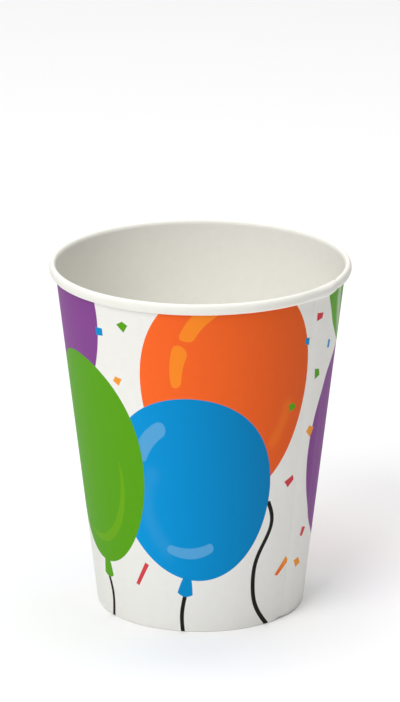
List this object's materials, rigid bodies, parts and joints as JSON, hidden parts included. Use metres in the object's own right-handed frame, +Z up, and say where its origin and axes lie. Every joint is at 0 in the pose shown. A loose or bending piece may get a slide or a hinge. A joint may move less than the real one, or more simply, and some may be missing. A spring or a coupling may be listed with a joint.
{
  "type": "paper cup",
  "caption": "Tapered paper party cup with a rolled rim, a lapped side seam, a recessed base and a printed balloon and confetti wall.",
  "frame": {"origin": "middle of the foot, on the surface that the cup stands on", "axes": "+Z up along the cup's axis, -Y towards the front of the print, +X to its right"},
  "size_m": [0.078, 0.078, 0.092],
  "materials": {
    "printed_board": "white paperboard with a thin satin coating, printed outside in flat inks",
    "plain_board": "unprinted white paperboard with a thin satin coating on its upper side"
  },
  "bodies": {
    "root": {"side_wall": "printed_board", "base_disc": "plain_board"}
  },
  "joints": []
}
